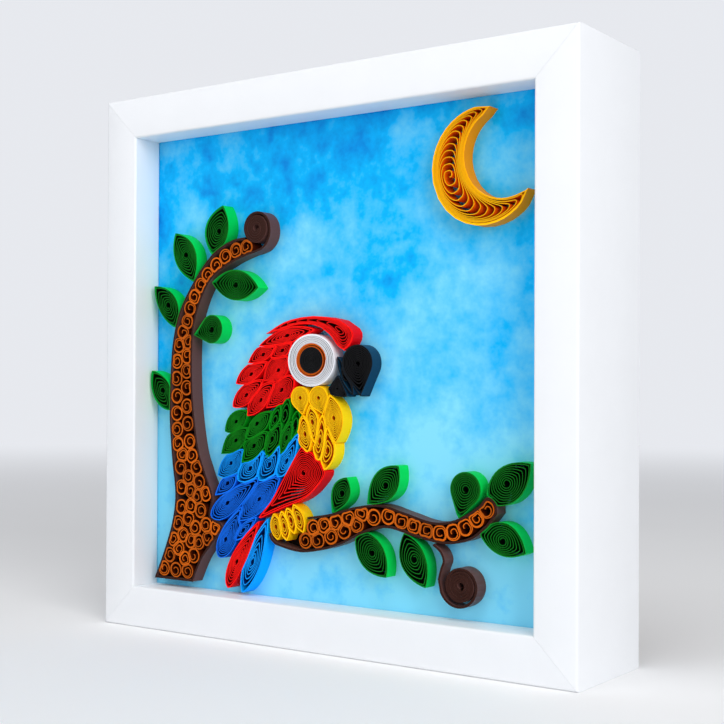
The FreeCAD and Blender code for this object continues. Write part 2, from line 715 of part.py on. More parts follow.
toes = [
    ((-26.1, 45.4), (-28.6, 57.1), (-27.3, 51.2), 2.4, 2.6),
    ((-21.1, 45.4), (-24.4, 58.4), (-22.7, 51.9), 2.5, 2.6),
    ((-16.8, 48.6), (-21.3, 60), (-19, 54.6), 2.4, 2.6),
    ((-11.8, 49.4), (-17.6, 61.8), (-14.6, 55.8), 2.4, 2.4),
]
lay_feathers(toes, "toe_", turns=1, piece="toes")


# The coils take their shapes from each other: first pinched, then sprung open into the room
# that is left. Coils of one piece are glued edge to edge, and all others stay clear.

def settle(name, outline, others):
    own = coils[name]
    mates = [other["shape"] for other in others if other["piece"] == own["piece"]]
    strangers = [other["shape"] for other in others if other["piece"] != own["piece"]]
    outline = pressed(outline, own["eye"], standing + strangers, glue_gap)
    own["shape"] = pressed(outline, own["eye"], mates, -glue_gap)


for name, own in coils.items():
    settle(name, own["pinched"], [other for other in coils.values() if "shape" in other])
for name, own in coils.items():
    settle(name, own["sprung"], [other for other in coils.values() if other is not own])

pieces = {}
for roll in coils.values():
    shape = coil(roll["shape"], roll["eye"], roll["wall"], roll["turns"])
    pieces.setdefault(roll["piece"], []).append(shape)
for name, parts in pieces.items():
    save(parts[0].fuse(parts[1:]).removeSplitter() if len(parts) > 1 else parts[0], name)
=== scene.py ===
import math

import bpy
import numpy as np
from mathutils import Matrix


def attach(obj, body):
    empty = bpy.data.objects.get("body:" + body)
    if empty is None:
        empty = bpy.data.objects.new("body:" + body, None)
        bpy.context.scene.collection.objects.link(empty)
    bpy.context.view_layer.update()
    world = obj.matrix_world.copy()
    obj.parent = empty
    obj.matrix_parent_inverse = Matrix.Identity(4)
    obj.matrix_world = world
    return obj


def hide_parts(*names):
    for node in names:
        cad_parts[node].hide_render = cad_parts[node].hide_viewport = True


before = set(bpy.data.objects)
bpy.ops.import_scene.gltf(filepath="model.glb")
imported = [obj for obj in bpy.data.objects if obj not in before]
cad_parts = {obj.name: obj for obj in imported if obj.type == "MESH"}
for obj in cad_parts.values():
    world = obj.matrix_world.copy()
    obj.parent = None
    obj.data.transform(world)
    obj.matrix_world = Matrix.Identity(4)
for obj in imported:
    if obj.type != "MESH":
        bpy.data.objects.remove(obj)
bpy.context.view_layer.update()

# Frame: four wooden rails with an L-shaped section, mitred and glued at the corners, filled,
# sanded and sprayed with satin white paint that rounds their edges.

frame_side = 0.250
frame_depth = 0.056
rail_face = 0.019
recess = 0.0165
rail_wall = 0.0095
edge_round = 0.0011
mitre_gap = 0.00005
white_paint = (244, 246, 249)

front_y = -frame_depth / 2
card_y = front_y + recess


def linear(colour, share=1.0):
    """Scene colour of a paint given as 0 to 255 on a screen: ((c + 0.055) / 1.055) ** 2.4."""
    levels = [c / 255 for c in colour]
    return tuple(
        share * (c / 12.92 if c < 0.0405 else ((c + 0.055) / 1.055) ** 2.4) for c in levels
    ) + (1.0,)


class Amount:
    """A number that changes over a surface. Sums and products with it add their Math nodes."""

    def __init__(self, finish, socket):
        self.finish = finish
        self.socket = socket

    def sum_up(self, operation, first, second):
        return self.finish.node("ShaderNodeMath", {0: first, 1: second}, operation=operation)

    def __add__(self, other):
        return self.sum_up("ADD", self, other)

    def __sub__(self, other):
        return self.sum_up("SUBTRACT", self, other)

    def __rsub__(self, other):
        return self.sum_up("SUBTRACT", other, self)

    def __mul__(self, other):
        return self.sum_up("MULTIPLY", self, other)

    def __truediv__(self, other):
        return self.sum_up("DIVIDE", self, other)

    __radd__ = __add__
    __rmul__ = __mul__


class Finish:
    """A paint, paper or metal: a Principled shader and the nodes that feed it."""

    def __init__(self, name, **constants):
        self.material = bpy.data.materials.new(name)
        self.material.use_nodes = True
        self.tree = self.material.node_tree
        self.shader = self.tree.nodes["Principled BSDF"]
        for socket, value in constants.items():
            self.shader.inputs[socket.replace("_", " ")].default_value = value

    def node(self, kind, sockets, output=0, stops=None, **settings):
        """Adds a node: first its settings and ramp stops, then its values and links."""
        node = self.tree.nodes.new(kind)
        for name, value in settings.items():
            setattr(node, name, value)
        if stops:
            ramp = node.color_ramp
            while len(ramp.elements) < len(stops):
                ramp.elements.new(0.5)
            for element, (place, colour) in zip(ramp.elements, stops):
                element.position = place
                element.color = colour
        for name, value in sockets.items():
            if isinstance(value, Amount):
                self.tree.links.new(value.socket, node.inputs[name])
            else:
                node.inputs[name].default_value = value
        return Amount(self, node.outputs[output])

    def place(self):
        return self.node("ShaderNodeTexCoord", {}, output="Object")

    def noise(self, per_metre, detail=3.0, roughness=0.55, stretch=None):
        """Cloudy noise from 0 to 1, with a number of lumps to the metre."""
        spot = self.place()
        if stretch:
            spot = self.node("ShaderNodeMapping", {"Vector": spot, "Scale": stretch})
        return self.node("ShaderNodeTexNoise", {
            "Vector": spot, "Scale": per_metre, "Detail": detail, "Roughness": roughness,
        })

    def attribute(self, name):
        return self.node("ShaderNodeAttribute", {}, output="Fac", attribute_name=name)

    def blend(self, share, first, second):
        return self.node("ShaderNodeMix", {0: share, 6: first, 7: second}, output=2,
                         data_type="RGBA")

    def feed(self, **sockets):
        for name, amount in sockets.items():
            self.tree.links.new(amount.socket, self.shader.inputs[name.replace("_", " ")])

    def relief(self, height, depth):
        """Bump from a height of 0 to 1 that stands for a depth in metres."""
        self.feed(Normal=self.node(
            "ShaderNodeBump", {"Height": height, "Distance": depth, "Strength": 1.0}
        ))


crease = math.radians(35)


def piece(name, corners, faces, finish, nodes, tones=None):
    """A mesh object at the origin, riding on the frame and standing for its CAD nodes."""
    mesh = bpy.data.meshes.new(name)
    mesh.from_pydata(corners.reshape(-1, 3).tolist(), [], faces)
    for title, values in (tones or {}).items():
        layer = mesh.attributes.new(title, "FLOAT", "FACE")
        layer.data.foreach_set("value", np.asarray(values, dtype=np.float32))
    mesh.polygons.foreach_set("use_smooth", [True] * len(mesh.polygons))
    mesh.set_sharp_from_angle(angle=crease)
    mesh.materials.append(finish.material)
    mesh.update()
    made = bpy.data.objects.new(name, mesh)
    bpy.context.scene.collection.objects.link(made)
    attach(made, "root")
    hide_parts(*nodes)


def rounded(section, radius, steps=4):
    """A closed section, as in + j * out, whose square corners are arcs between their tangents."""
    before, after = np.roll(section, 1), np.roll(section, -1)
    to_before = (before - section) / abs(before - section)
    to_after = (after - section) / abs(after - section)
    t = np.linspace(0, math.pi / 2, steps + 1)
    centre = section + radius * (to_before + to_after)
    arcs = centre[:, None] - radius * (
        to_after[:, None] * np.cos(t) + to_before[:, None] * np.sin(t)
    )
    return arcs.ravel()


def rail(name, start, end, inward, finish):
    """A section swept straight between two mitres: a point in by a comes a in from each end."""
    section = np.array([
        0 + 1j * front_y, rail_face + 1j * front_y, rail_face + 1j * card_y,
        rail_wall + 1j * card_y, rail_wall - 1j * front_y, -1j * front_y,
    ])
    section = rounded(section, edge_round)
    along = (end - start) / abs(end - start)
    a = section.real
    rims = [start + a * inward + (a + mitre_gap) * along,
            end + a * inward - (a + mitre_gap) * along]
    corners = np.stack([
        np.stack([rim.real, section.imag, rim.imag], axis=-1) for rim in rims
    ])
    count = len(section)
    k = np.arange(count)
    after = (k + 1) % count
    faces = np.stack([k, after, after + count, k + count], axis=1).tolist()
    faces += [list(range(count))[::-1], list(range(count, 2 * count))]
    piece(name + "_painted", corners, faces, finish, [name])


paint = Finish("satin_white_paint", Roughness=0.42, IOR=1.48)
mottle = paint.noise(60, 4)
grain = paint.noise(1400, 2)
paint.feed(
    Base_Color=paint.blend(mottle, linear(white_paint, 0.97), linear(white_paint, 0.93)),
    Roughness=0.38 + 0.12 * paint.noise(220, 3),
)
paint.relief(grain, 0.00002)

half = frame_side / 2
low_left, low_right = -half + 0j, half + 0j
top_left, top_right = -half + 1j * frame_side, half + 1j * frame_side
rail("rail_bottom", low_left, low_right, 1j, paint)
rail("rail_top", top_right, top_left, -1j, paint)
rail("rail_left", top_left, low_left, 1, paint)
rail("rail_right", low_right, top_right, -1, paint)


# Sky card and back: a card washed with watercolour lies against the shoulder behind the lips,
# a thin fibreboard back lies on it, and flat steel points pushed into the rails hold both.

sky_deep = (0, 126, 220)
sky_mid = (0, 186, 255)
sky_pale = (134, 224, 255)

wash = Finish("watercolour_sky", Specular_IOR_Level=0.12)
height = wash.node("ShaderNodeSeparateXYZ", {"Vector": wash.place()}, output="Z")
clouds = wash.noise(13, 6, 0.62)
blooms = wash.noise(45, 5, 0.6)
specks = wash.noise(170, 3, 0.6)
lift = (height - rail_face) / (frame_side - 2 * rail_face)
paleness = 0.90 - 0.66 * lift + 1.5 * (clouds - 0.5) + 1.3 * (blooms - 0.5)
wash.feed(
    Base_Color=wash.node("ShaderNodeValToRGB", {"Fac": paleness + 0.25 * (specks - 0.5)}, stops=[
        (0.0, linear(sky_deep)), (0.3, linear(sky_mid)), (0.8, linear(sky_pale)),
    ]),
    Roughness=0.55 + 0.2 * specks,
)
wash.relief(wash.noise(2200, 2), 0.00002)

fibreboard = Finish("fibreboard_back", Roughness=0.85)
chips = fibreboard.noise(900, 4, 0.7)
fibreboard.feed(Base_Color=fibreboard.blend(chips, linear((128, 94, 62)), linear((172, 138, 98))))
fibreboard.relief(chips, 0.00006)

steel = Finish("bright_steel", Metallic=1.0)
rolled = steel.noise(500, 3, 0.6, stretch=(1, 1, 8))
steel.feed(
    Base_Color=steel.blend(rolled, linear((168, 170, 172)), linear((198, 199, 200))),
    Roughness=0.25 + 0.2 * rolled,
)
for name, finish in (("sky_card", wash), ("back_board", fibreboard), ("framer_points", steel)):
    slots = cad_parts[name].data.materials
    slots.clear()
    slots.append(finish.material)


# Trunk, branch and twig: strips of dark brown paper on edge, glued to the card. The trunk's is
# rolled up at the end of the arm, and the twig's ends in a tight roll.

strip_height = 0.007
rim_lift = 0.12
outline_strip = 1.0
rim_y = card_y - strip_height
# Brown paper: the cut edge's colour, a painted shade for the walls between the turns, and a
# painted light for the outer walls.
brown_rim, brown_inside_shade, brown_outside_shading = (46, 20, 13), (12, 5, 4), (92, 62, 58)


def paper(name, rim_colour, inside, outside, roughness=0.55, fibre=0.10):
    """Quilling paper: cut edge, painted shade on the faces between the turns, painted light on
    the outer wall, a changing tone that carries painted light and shade, and fibres.
    """
    stock = Finish(name, Specular_IOR_Level=0.10)
    fibres = stock.noise(1500, 3, 0.65)
    tone = stock.attribute("tone")
    cut = stock.attribute("cut")
    fibre_mottle = 1.0 - fibre + 2 * fibre * fibres
    rim = stock.node("ShaderNodeVectorMath", {0: linear(rim_colour)[:3], 3: fibre_mottle * tone},
                     operation="SCALE")
    # The walls between the turns take the inside colour, a painted shade, and the outer wall
    # takes the outside colour, a painted light.
    wall_shading = stock.blend(stock.attribute("outer"), linear(inside), linear(outside))
    wall = stock.node("ShaderNodeVectorMath", {0: wall_shading, 3: fibre_mottle * tone}, operation="SCALE")
    stock.feed(
        Base_Color=stock.blend(cut, wall, rim),
        Roughness=roughness - 0.1 + 0.2 * fibres + 0.12 * cut,
    )
    stock.relief(fibres, 0.00003)
    return stock


def smooth(points, pieces=8):
    """Catmull-Rom curve, as x + j * z: a cubic through b and c with slopes (c-a)/2, (d-b)/2."""
    p = np.concatenate([[2 * points[0] - points[1]], points, [2 * points[-1] - points[-2]]])
    a, b, c, d = p[:-3, None], p[1:-2, None], p[2:-1, None], p[3:, None]
    t = np.arange(pieces) / pieces
    curve = (
        b + t * (c - a) / 2 + t ** 2 * (a - 2.5 * b + 2 * c - d / 2)
        + t ** 3 * (1.5 * (b - c) + (d - a) / 2)
    )
    return np.append(curve.ravel(), points[-1])


def mitred(path, distance):
    """A path moved to its left by a distance over the cosine of half the bend at each point."""
    run = np.diff(path)
    heading = run / abs(run)
    first = np.concatenate([heading[:1], heading])
    second = np.concatenate([heading, heading[-1:]])
    half_bend = np.angle(second / first) / 2
    reach = distance / np.maximum(np.cos(half_bend), 0.55)
    return path + 1j * first * np.exp(1j * half_bend) * reach


def on_edge(strips, seed):
    """Strips on edge: each path's two sides, at the rim and at the card, joined all round.

    A strip is its middle line in mm as x + j * z, its thickness in mm, its tone, and how many
    of its steps lie outside. The rim waves by half of rim_lift, in mm, and the tone carries
    painted light and shade: it rises to 1.16 of its value on the outer turn and falls to 0.86
    inside.
    """
    random = np.random.default_rng(seed)
    corners, faces, cut, outer, tones = [], [], [], [], []
    total = 0
    for path, thickness, tone, outer_steps in strips:
        count = len(path)
        left, right = mitred(path, thickness / 2), mitred(path, -thickness / 2)
        wave = random.uniform(0, 2 * math.pi)
        s = np.arange(count)
        lift = rim_lift * (0.5 + 0.5 * np.sin(s * 0.05 + wave))
        front = rim_y + lift / 1000
        back = np.full(count, card_y)
        ring = np.stack([
            np.stack([left.real / 1000, front, left.imag / 1000], -1),
            np.stack([right.real / 1000, front, right.imag / 1000], -1),
            np.stack([right.real / 1000, back, right.imag / 1000], -1),
            np.stack([left.real / 1000, back, left.imag / 1000], -1),
        ], axis=1)
        corners.append(ring.reshape(-1, 3))
        k = total + 4 * s[:-1, None] + np.arange(4)
        after = total + 4 * s[:-1, None] + (np.arange(4) + 1) % 4
        quads = np.stack([k, k + 4, after + 4, after], axis=-1).reshape(-1, 4)
        last = total + 4 * (count - 1)
        faces += quads.tolist() + [[total, total + 1, total + 2, total + 3],
                                   [last + 3, last + 2, last + 1, last]]
        is_rim = np.tile([1.0, 0.0, 0.0, 0.0], count - 1)
        cut.append(np.append(is_rim, [0.0, 0.0]))
        # Faces on the outside take the paper's painted light colour, and the others its painted
        # shade.
        open_faces = np.outer(s[:-1] < outer_steps, [0.0, 1.0, 0.0, 1.0]).ravel()
        outer.append(np.append(open_faces, [0.0, 0.0]))
        # Painted light and shade on the tone: 1.16 on the outer turn, down to 0.86 on the inner
        # turns, over a small wave of real tone.
        inner = np.clip((s[:-1] - outer_steps) / max(outer_steps, 1), 0, 1)
        tone_with_shade = tone * (1.16 - 0.3 * inner) * (1 + 0.05 * np.sin(s[:-1] * 0.11 + wave))
        tones.append(np.append(np.repeat(tone_with_shade, 4), [tone, tone]))
        total += 4 * count
    return np.concatenate(corners), faces, {
        "cut": np.concatenate(cut), "outer": np.concatenate(outer),
        "tone": np.concatenate(tones),
    }


def spiral(eye, knots, step):
    """Curve round an eye: radius against angle in degrees, straight between the knots."""
    angles, radii = np.array(knots, dtype=float).T
    turn = np.append(np.arange(angles[0], angles[-1], step), angles[-1])
    return eye + np.interp(turn, angles, radii) * np.exp(1j * np.radians(turn))


trunk_right = np.array([
    -77.5 + 23j, -72 + 33.5j, -66 + 40.7j, -60 + 47.5j, -60.3 + 50.5j, -66.6 + 53.5j,
    -65.3 + 62.5j, -70 + 73.5j, -74.4 + 85j, -77.8 + 106j, -78.6 + 128j, -77.2 + 142.8j,
    -72.2 + 155.6j, -65.6 + 164.2j, -55 + 170j, -45 + 173.3j, -40 + 174.3j,
])
trunk_left = np.array([
    -100.6 + 23j, -95.5 + 34j, -90 + 48.5j, -87.8 + 62.5j, -90 + 80j, -91.7 + 100j,
    -91.1 + 120j, -89.7 + 134.4j, -85.6 + 148.3j, -76.8 + 162j, -65.6 + 173.9j,
    -54.4 + 179.4j, -46 + 180.6j,
])
trunk_eye = -39.8 + 184.8j
branch_top = np.array([
    -9.6 + 56.1j, 2.6 + 58.2j, 16.8 + 62.1j, 29.7 + 63.5j, 41.5 + 60.9j, 55.3 + 57.9j,
    66.5 + 59.7j, 76.5 + 65.3j, 80.5 + 69.2j, 84 + 67.2j, 84.6 + 63.5j,
])
branch_under = np.array([
    80.3 + 58.3j, 72.9 + 52.9j, 61.2 + 50.3j, 47.4 + 52.1j, 32.6 + 55j, 20.9 + 52.4j,
    6.2 + 45.6j, -11.5 + 41.6j, -25 + 43.2j, -29.4 + 45.2j, -30.8 + 48.2j,
])
twig_stem = np.array([55.3 + 49.3j, 58.8 + 46.5j, 60.3 + 42.9j, 59.1 + 39.4j, 57.9 + 34.7j])
twig_eye = 68.1 + 33.4j

dark_brown = paper("dark_brown_paper", brown_rim, brown_inside_shade, brown_outside_shading, roughness=0.42)

trunk_roll = spiral(trunk_eye, [(-72, 10), (0, 8), (86, 7), (218, 6.2), (1800, 1.4)], 9)
right_side = smooth(trunk_right[::-1])
left_side = smooth(trunk_left)
arm = np.concatenate([trunk_roll[::-1], right_side[1:]])
trunk_line = np.concatenate([arm, left_side])
corners, faces, tones = on_edge([(trunk_line, outline_strip, 1.0, len(trunk_line))], seed=1)
piece("trunk_strip", corners, faces, dark_brown, ["trunk_outline"],
      tones=tones)

branch_line = np.concatenate([smooth(branch_top), smooth(branch_under)])
corners, faces, tones = on_edge([(branch_line, outline_strip, 1.0, len(branch_line))], seed=2)
piece("branch_strip", corners, faces, dark_brown, ["branch_outline"],
      tones=tones)

twig_turns = spiral(twig_eye, [(200, 9.6), (302, 8), (430, 7), (540, 6.4), (2090, 1.4)], 9)
twig_line = np.concatenate([smooth(twig_stem)[:-1], twig_turns])
corners, faces, tones = on_edge([(twig_line, outline_strip, 1.0, len(twig_line))], seed=3)
piece("twig_strip", corners, faces, dark_brown, ["twig_curl"], tones=tones)


# Bark: small coils of orange-brown paper, pinched a little on one side, glued close together
# on a base of dark brown paper inside the trunk's and the branch's strips.

# The bark paper's walls, inside and out, take a painted shade colour; the cut edge keeps the
# orange.
bark_rim, bark_inside_shade = (222, 104, 8), (92, 30, 4)
bark_size = 3.6
bark_strip = 0.42
bark_margin = 0.7
curl_radius = 0.9
base_paper = 0.4
base_margin = 0.6
bark_spots = np.array([
    -45.2 + 176.4j, -51.4 + 175.4j, -57.8 + 172.9j, -63.4 + 169.3j, -68.8 + 165.1j,
    -72.9 + 160.3j, -76.7 + 155.3j, -79.6 + 149.9j, -81.2 + 143.7j, -83.8 + 138.9j,
    -86.2 + 132.7j, -80.8 + 134.2j, -87.5 + 125.3j, -81.2 + 127.5j, -87.8 + 117.2j,
    -81.4 + 120.6j, -87.5 + 108.9j, -81.4 + 112.8j, -87.5 + 100.8j, -81.1 + 104.2j,
    -87.2 + 93.3j, -80.6 + 96.1j, -86.7 + 86.4j, -79.4 + 87.8j, -83.9 + 81.4j,
    -77.8 + 81.1j, -85 + 75.6j, -75 + 75.8j, -80 + 71.1j, -73.3 + 69.2j,
    -84.3 + 66.2j, -78.3 + 64.8j, -74.3 + 62.5j, -69.2 + 63.8j, -84.3 + 57j,
    -78.3 + 57.8j, -72.3 + 56j, -86.5 + 49.3j, -79.8 + 51.8j, -75.5 + 47.8j,
    -68.8 + 49.5j, -63 + 48.6j, -67.8 + 43.3j, -89 + 41.5j, -83.2 + 44j,
    -73.3 + 41.3j, -78.3 + 41.5j, -91.8 + 34j, -86 + 37.5j, -82 + 33j,
    -76.4 + 34.8j, -95.2 + 27.5j, -87.7 + 27.3j, -80.4 + 27.3j,
])
branch_spots = np.array([
    -10.6 + 46.3j, -3.9 + 46.8j, 3.2 + 49j, 10.2 + 51.8j, 16.9 + 55j, -6.4 + 52.2j,
    -0.4 + 53.6j, 5.9 + 55.4j, 12.3 + 57.4j, 19.4 + 59.8j, 25.6 + 58.6j, 33.1 + 59.4j,
    39.6 + 58j, 45.9 + 56.3j, 51.8 + 54.6j, 58.4 + 53.9j, 64.8 + 54.9j, 70.4 + 57.2j,
    75.6 + 60.9j, 80.2 + 64.9j,
])

bark_paper = paper("bark_paper", bark_rim, bark_inside_shade, bark_inside_shade, roughness=0.5)
# The base sheet of dark brown paper is coloured all over with the brown paper's painted shade,
# near black, as it lies deep between the coils.
shaded_base_brown = paper("base_brown_paper", brown_rim, brown_inside_shade, brown_inside_shade, roughness=0.8)


def crossings(eye, angles, edges):
    """Distance from an eye to each edge along each ray, infinite where the ray misses it.

    With d the ray's direction, a the edge's start and e its run, the distance is
    (a x e) / (d x e), and the ray meets the edge where (a x d) / (d x e) is from 0 to 1.
    """
    start, run = edges
    a = start[None, :] - eye
    d = np.exp(1j * angles)[:, None]
    slant = (np.conj(d) * run).imag
    slant = np.where(abs(slant) < 1e-9, 1e-9, slant)
    reach = (np.conj(a) * run).imag / slant
    share = (np.conj(a) * d).imag / slant
    met = (share >= 0) & (share <= 1) & (reach > 0)
    return np.where(met, reach, np.inf)


def edges_of(outlines):
    """Starts and runs of the sides of closed outlines."""
    starts = np.concatenate(outlines)
    ends = np.concatenate([np.roll(outline, -1) for outline in outlines])
    return starts, ends - starts


def bark_coils(spots, line, seed):
    """Coils that share the room: each reaches half the way to its neighbours at most.

    The first turn follows that reach, the second lies against it, and the rest curls in.
    """
    random = np.random.default_rng(seed)
    strips = []
    angles = np.radians(np.arange(0, 360, 12))
    walls = line[:-1], np.diff(line)
    for eye in spots:
        away = spots[abs(spots - eye) > 0.1] - eye
        facing = (np.conj(away)[None, :] * np.exp(1j * angles)[:, None]).real
        halfway = np.where(facing > 0.2, abs(away) ** 2 / 2 / np.maximum(facing, 0.2), np.inf)
        to_wall = crossings(eye, angles, walls).min(axis=1) - bark_margin
        reach = np.minimum(bark_size, np.minimum(halfway.min(axis=1), to_wall))
        pinch = random.uniform(0, 2 * math.pi)
        turns = random.uniform(2.7, 3.3)
        f = np.linspace(0, 1, int(turns * 24))
        turn = pinch + 2 * math.pi * turns * f
        outer = np.interp(turn % (2 * math.pi), np.append(angles, 2 * math.pi),
                          np.append(reach, reach[:1]))
        packed = np.clip(f * turns - 1, 0, 1) * bark_strip
        curl = np.clip((f * turns - 2) / (turns - 2), 0, 1)
        radius = (outer - bark_strip / 2 - packed) * (1 - curl) + curl_radius * curl
        sag = random.uniform(0.2, 0.7) * curl * np.exp(1j * (pinch + 1))
        strips.append((eye + sag + radius * np.exp(1j * turn), bark_strip,
                       random.uniform(0.72, 1.15), 0))
    return strips


def flat_sheet(outline, front, back):
    """A thin sheet cut to an outline, in mm, from one depth to another, in metres."""
    count = len(outline)
    flat = np.stack([outline.real / 1000, np.zeros(count), outline.imag / 1000], -1)
    corners = np.stack([flat + [0, front, 0], flat + [0, back, 0]])
    k = np.arange(count)
    after = (k + 1) % count
    faces = np.stack([k, k + count, after + count, after], -1).tolist()
    return corners, faces + [list(range(count)), list(range(count, 2 * count))[::-1]]


def bark(name, spots, line, ground, seed):
    """The base sheet and the coils of one length of bark, joined into one piece."""
    corners, faces, tones = on_edge(bark_coils(spots, line, seed), seed)
    piece(name + "_coils", corners, faces, bark_paper, [name], tones=tones)
    sheet_corners, sheet_faces = flat_sheet(ground, card_y - base_paper / 1000, card_y)
    piece(name + "_base", sheet_corners, sheet_faces, shaded_base_brown, [name],
          tones={"tone": np.ones(len(sheet_faces))})


# The trunk's sheet starts past the roll, and the branch's ends where the tip turns back.
trunk_ground = mitred(np.concatenate([right_side[9:], left_side]), -base_margin)
branch_ground = mitred(branch_line[:-14], -base_margin)
bark("trunk_bark", bark_spots, trunk_line, trunk_ground, 11)
bark("branch_bark", branch_spots, branch_line, branch_ground, 12)


# Leaves: coils of green paper, loosely wound, let go a little and pinched at both tips, or at
# one, and glued on edge beside the strips.

# Green leaf paper: the cut edge's colour, a painted shade for the walls between the turns, and a
# painted light for the outer walls.
leaf_rim, leaf_inside_shade, leaf_outside_shading = (8, 126, 26), (0, 18, 2), (0, 196, 78)
clearance = 0.15
# How a coil is wound: the strip's thickness, the pitch of its turns at the waist and the
# hole's radius in mm, how soon the turns become round, how closely the first ones pack, and
# how much the cut edge splays at the tips, in mm.
leaf_winding = {"strip": 0.29, "pitch": 0.74, "hole": 1.2, "round_off": 1.15, "packing": 1.35,
                "splay": 0.1}

leaf_paper = paper("leaf_paper", leaf_rim, leaf_inside_shade, leaf_outside_shading, roughness=0.45)


def petal(start, end, eye, left, right, sides=18):
    """Outline pinched at both ends: each side bows by (4 s (1 - s)) ** 0.9, most by the eye."""
    length = abs(end - start)
    along = (end - start) / length
    share = ((eye - start) * np.conj(along)).real / length
    lean = math.log(0.5) / math.log(min(max(share, 0.35), 0.65))
    t = (1 - np.cos(math.pi * np.arange(sides + 1) / sides)) / 2
    s = t ** lean
    bow = (4 * s * (1 - s)) ** 0.9
    middle = start + along * length * t
    right_side = middle - 1j * along * right * bow
    left_side = middle + 1j * along * left * bow
    return np.concatenate([right_side[:-1], left_side[:0:-1]])


def drop(tip, centre, radius, sides=36):
    """Teardrop outline: a tip, and the round end between its two tangents."""
    heading = np.angle(tip - centre)
    open_angle = math.acos(min(radius / abs(tip - centre), 0.95))
    angles = heading + open_angle + (2 * math.pi - 2 * open_angle) * np.linspace(0, 1, sides)
    flank = np.linspace(0, 1, 5)[:-1]
    round_end = centre + radius * np.exp(1j * angles)
    return np.concatenate([
        tip + (round_end[0] - tip) * flank, round_end,
        round_end[-1] + (tip - round_end[-1]) * np.linspace(0, 1, 5)[1:-1],
    ])


def pressed(outline, eye, others, gap):
    """Draws points of an outline in towards its eye until it clears its neighbours."""
    if not others:
        return outline
    reach = abs(outline - eye)
    angles = np.angle(outline - eye)
    met = crossings(eye, angles, edges_of(others))
    limit = met.min(axis=1) - gap
    reach = np.where(limit < reach + gap, np.minimum(reach, limit), reach)
    return eye + reach * np.exp(1j * angles)


def wound(outline, eye, strip, pitch, hole, round_off, packing, splay):
    """A strip's middle line that follows an outline once and then winds in to a round hole.

    Share f of the winding is 0 outside and 1 at the hole. With R the outline's reach at a
    point and w its least, the reach is w * (1 - (1 - hole / w) * f ** packing) * (R / w) ** p,
    where p = 1 - round_off * f. Inner turns take their tips from an outline whose points are
    averaged with their neighbours, and the strip is wider by the splay where R is far over w.
    """
    spoke = outline - eye
    softened = spoke
    for step in range(3):
        softened = (np.roll(softened, 1) + softened + np.roll(softened, -1)) / 3
    following = np.roll(spoke, -1)
    flat = (np.conj(spoke) * following).imag / abs(following - spoke)
    flat = (flat + np.roll(flat, 1)) / 2
    waist = max(np.percentile(flat, 12), hole + pitch)
    turns = max(int(round((waist - hole) / pitch)) + 1, 2)
    count = len(outline)
    j = np.arange(count * turns + 1)
    k = j % count
    f = np.clip((j - count) / (count * (turns - 1)), 0, 1)
    soft = np.clip(4 * f, 0, 1)
    line = spoke[k] * (1 - soft) + softened[k] * soft
    narrow = abs(spoke).min()
    stretch = np.maximum(abs(line) / narrow, 1.0)
    wide = strip + splay * np.clip((stretch - 1.3) / 1.2, 0, 1)
    inside = np.clip(1 - wide / 2 / flat[k], 0.5, 1)
    keep = 1 - (1 - hole / narrow) * f ** packing
    power = np.maximum(1 - round_off * f, 0)
    return eye + line / abs(line) * narrow * keep * stretch ** power * inside, wide


coils = {}


def lay_coil(name, outline, eye, winding, stock, slot, sprung=None, nodes=None):
    """Notes a coil for the settling below: its outline as pinched, and as far as it can open."""
    coils[name] = {
        "pinched": outline, "sprung": outline if sprung is None else sprung, "eye": eye,
        "winding": winding, "paper": stock, "slot": slot, "piece": nodes or name,
    }


pinched_leaves = {
    "tree_leaf_top": (-65.3 + 173.3j, -59.4 + 196.5j, -61.9 + 184.8j, 8.1, 6.3),
    "tree_leaf_upper": (-77.2 + 162.2j, -89 + 185.6j, -82.4 + 174.9j, 6, 7.5),
    "tree_leaf_left": (-87.8 + 140.8j, -102.5 + 161.1j, -93.7 + 151.7j, 4.1, 7.6),
    "tree_leaf_right": (-65.8 + 161.4j, -38 + 158j, -51.4 + 159.9j, 7, 7),
    "tree_leaf_low": (-92.7 + 102.2j, -104 + 120.9j, -97 + 111.4j, 5.2, 6.5),
    "branch_leaf_near": (3.6 + 58.3j, 11.5 + 74.8j, 8.9 + 67.9j, 4.8, 5.1),
    "branch_leaf_up": (22.1 + 63.8j, 38.2 + 80.6j, 31.5 + 72.4j, 6, 7),
    "branch_leaf_down": (16.5 + 53j, 32.1 + 33.8j, 25 + 43.6j, 6.7, 7),
    "branch_leaf_middle": (40.9 + 52.9j, 51.5 + 31.2j, 46.2 + 42.5j, 5.7, 7),
    "branch_leaf_tip_up": (80.5 + 67.5j, 100 + 83.8j, 89.3 + 75.7j, 7.2, 7.2),
    "branch_leaf_tip_down": (76.5 + 56.2j, 98 + 48.8j, 87.6 + 52.9j, 7.8, 5.3),
}
for name, (tip, far_tip, eye, left, right) in pinched_leaves.items():
    lay_coil(name, petal(tip, far_tip, eye, left, right), eye, leaf_winding, leaf_paper,
             "leaf_paper")
drop_leaves = {
    "tree_leaf_drop": (-77 + 137.5j, -66 + 139.9j, 6.6),
    "branch_leaf_drop": (67.1 + 59.9j, 70.4 + 72.4j, 7.1),
}
for name, (tip, eye, radius) in drop_leaves.items():
    lay_coil(name, drop(tip, eye, radius), eye, leaf_winding, leaf_paper, "leaf_paper")


# Moon: one large coil of golden paper, bent into a crescent. Its turns lie packed along both
# sides and leave arched gaps, one after another, up to each tip.

# Golden paper: the cut edge's colour, a painted shade for the walls between the turns, and a
# painted shade on the outer wall.
moon_rim, moon_inside_shade, moon_outside_shading = (255, 186, 0), (255, 112, 0), (232, 140, 0)
moon_tips = 80.8 + 225.2j, 98.2 + 191j
moon_strip = 0.36
moon_points = 64

moon_paper = paper("moon_paper", moon_rim, moon_inside_shade, moon_outside_shading, roughness=0.5)


